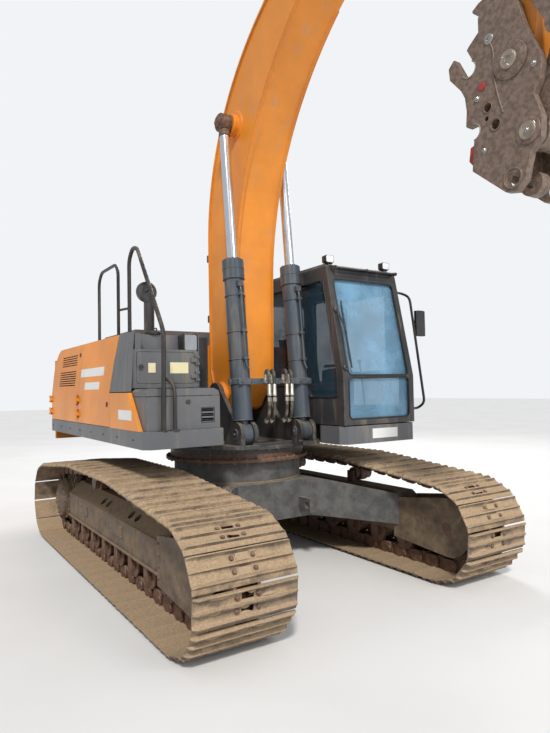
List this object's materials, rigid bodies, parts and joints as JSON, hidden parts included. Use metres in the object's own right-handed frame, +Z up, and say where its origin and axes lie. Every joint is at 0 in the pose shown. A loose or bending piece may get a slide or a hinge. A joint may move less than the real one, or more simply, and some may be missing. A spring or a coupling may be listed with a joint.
{
  "type": "crawler excavator",
  "caption": "Crawler excavator with tracked undercarriage, slewing house, cab, curved boom, straight arm, cylinders, linkage and a quick coupler without a tool.",
  "frame": {"origin": "on the ground under the middle of the overall box", "axes": "+X forward along the tracks and the boom, +Y to the machine's left, the cab side, +Z up"},
  "size_m": [7.9652, 3.44, 7.8897],
  "materials": {
    "undercarriage_mud": "matt",
    "rusty_iron": "matt",
    "dark_paint": "satin",
    "grey_paint": "satin",
    "orange_paint": "gloss",
    "black_steel": "satin",
    "hose_rubber": "satin",
    "tinted_glass": "gloss",
    "interior": "matt",
    "lamp": "gloss",
    "rod_chrome": "polished",
    "red_paint": "satin"
  },
  "bodies": {
    "undercarriage": {"carbody": "undercarriage_mud", "slew_ring": "rusty_iron", "track_frames": "undercarriage_mud", "track_right": "undercarriage_mud", "track_left": "undercarriage_mud", "idlers": "rusty_iron", "sprockets": "rusty_iron", "track_rollers": "rusty_iron"},
    "house": {"main_frame": "dark_paint", "deck_right": "grey_paint", "deck_left": "grey_paint", "counterweight": "orange_paint", "engine_block": "dark_paint", "engine_housing": "orange_paint", "side_panel_right": "orange_paint", "fuel_tank": "grey_paint", "hydraulic_tank": "dark_paint", "toolbox": "grey_paint", "handrails": "black_steel", "mirrors": "grey_paint", "exhaust": "dark_paint", "cab_shell": "dark_paint", "cab_roof": "grey_paint", "cab_glass": "tinted_glass", "cab_interior": "interior", "work_lights": "lamp"},
    "boom": {"boom": "orange_paint", "boom_pipes": "black_steel"},
    "boom_tubes": {"boom_cylinder_tubes": "dark_paint", "cylinder_hoses": "hose_rubber"},
    "boom_rods": {"boom_cylinder_rods": "rod_chrome"},
    "arm": {"arm": "orange_paint"},
    "arm_tube": {"arm_cylinder_tube": "dark_paint"},
    "arm_rod": {"arm_cylinder_rod": "rod_chrome"},
    "coupler": {"coupler": "rusty_iron", "coupler_lock": "red_paint"},
    "rocker": {"rocker_links": "dark_paint"},
    "tipping": {"tipping_link": "dark_paint"},
    "link_tube": {"link_cylinder_tube": "dark_paint"},
    "link_rod": {"link_cylinder_rod": "rod_chrome"},
    "door_cab": {"cab_door": "dark_paint", "door_glass": "tinted_glass"},
    "door_rear_right": {"door_right_rear": "orange_paint"},
    "door_mid_right": {"door_right_mid": "orange_paint"},
    "door_rear_left": {"door_left_rear": "orange_paint"},
    "hood": {"hood": "dark_paint"},
    "lid": {"toolbox_lid": "grey_paint"},
    "door_tank": {"tank_door": "grey_paint"}
  },
  "joints": [
    {"name": "swing", "type": "hinge", "parent": "undercarriage", "child": "house", "pos_m": [-0.425, 0, 1.17], "axis": [0, 0, 1], "continuous": true},
    {"name": "boom_lift", "type": "hinge", "parent": "house", "child": "boom", "pos_m": [-0.375, 0, 1.75], "axis": [0, -1, 0], "range_deg": [-90, 8]},
    {"name": "boom_tubes_tilt", "type": "hinge", "parent": "house", "child": "boom_tubes", "pos_m": [0.355, 0, 1.38], "axis": [0, -1, 0], "range_deg": [-93, 9]},
    {"name": "boom_rods_slide", "type": "slide", "parent": "boom_tubes", "child": "boom_rods", "axis": [-0.098, 0, 0.9952], "range_m": [-1.16, 0.11]},
    {"name": "arm_swing", "type": "hinge", "parent": "boom", "child": "arm", "pos_m": [3.475, 0, 6.98], "axis": [0, -1, 0], "range_deg": [-2, 110]},
    {"name": "arm_tube_tilt", "type": "hinge", "parent": "boom", "child": "arm_tube", "pos_m": [0.805, 0, 6.04], "axis": [0, -1, 0], "range_deg": [-0.5, 7]},
    {"name": "arm_rod_slide", "type": "slide", "parent": "arm_tube", "child": "arm_rod", "axis": [0.8665, 0, 0.4991], "range_m": [-1.47, 0.03]},
    {"name": "coupler_tilt", "type": "hinge", "parent": "arm", "child": "coupler", "pos_m": [3.3331, 0, 3.7301], "axis": [0, -1, 0], "range_deg": [-5, 125]},
    {"name": "rocker_swing", "type": "hinge", "parent": "arm", "child": "rocker", "pos_m": [3.361, 0, 4.3695], "axis": [0, -1, 0], "range_deg": [-4, 82]},
    {"name": "link_tube_tilt", "type": "hinge", "parent": "arm", "child": "link_tube", "pos_m": [3.8902, 0, 6.6316], "axis": [0, -1, 0], "range_deg": [-1, 9]},
    {"name": "link_rod_slide", "type": "slide", "parent": "link_tube", "child": "link_rod", "axis": [-0.0865, 0, -0.9963], "range_m": [-0.73, 0.03]},
    {"name": "tipping_link_swing", "type": "hinge", "parent": "coupler", "child": "tipping", "pos_m": [3.4331, 0, 3.2701], "axis": [0, -1, 0], "range_deg": [-128, 6]},
    {"name": "cab_door_hinge", "type": "hinge", "parent": "house", "child": "door_cab", "pos_m": [-0.295, 1.497, 2.1], "axis": [0, 0, 1], "range_deg": [0, 165]},
    {"name": "rear_right_door_hinge", "type": "hinge", "parent": "house", "child": "door_rear_right", "pos_m": [-2.755, -1.519, 1.66], "axis": [0, 0, -1], "range_deg": [0, 110]},
    {"name": "mid_right_door_hinge", "type": "hinge", "parent": "house", "child": "door_mid_right", "pos_m": [-1.425, -1.519, 1.66], "axis": [0, 0, -1], "range_deg": [0, 90]},
    {"name": "rear_left_door_hinge", "type": "hinge", "parent": "house", "child": "door_rear_left", "pos_m": [-2.755, 1.519, 1.66], "axis": [0, 0, 1], "range_deg": [0, 110]},
    {"name": "hood_hinge", "type": "hinge", "parent": "house", "child": "hood", "pos_m": [-2.651, 0, 2.387], "axis": [0, -1, 0], "range_deg": [0, 60]},
    {"name": "lid_hinge", "type": "hinge", "parent": "house", "child": "lid", "pos_m": [0.215, -1.1, 1.836], "axis": [0, -1, 0], "range_deg": [0, 75]},
    {"name": "tank_door_hinge", "type": "hinge", "parent": "house", "child": "door_tank", "pos_m": [0.211, -0.79, 2.03], "axis": [0, 0, -1], "range_deg": [-100, 0]}
  ],
  "couplings": [
    {"joint": "boom_tubes_tilt", "follows": "boom_lift", "ratio": 1.024},
    {"joint": "boom_rods_slide", "follows": "boom_lift", "m_per_rad": 0.7314},
    {"joint": "arm_tube_tilt", "follows": "arm_swing", "ratio": 0.0577},
    {"joint": "arm_rod_slide", "follows": "arm_swing", "m_per_rad": -0.7609},
    {"joint": "rocker_swing", "follows": "coupler_tilt", "ratio": 0.649},
    {"joint": "link_tube_tilt", "follows": "coupler_tilt", "ratio": 0.067},
    {"joint": "link_rod_slide", "follows": "coupler_tilt", "m_per_rad": -0.3287},
    {"joint": "tipping_link_swing", "follows": "coupler_tilt", "ratio": -1.013}
  ]
}
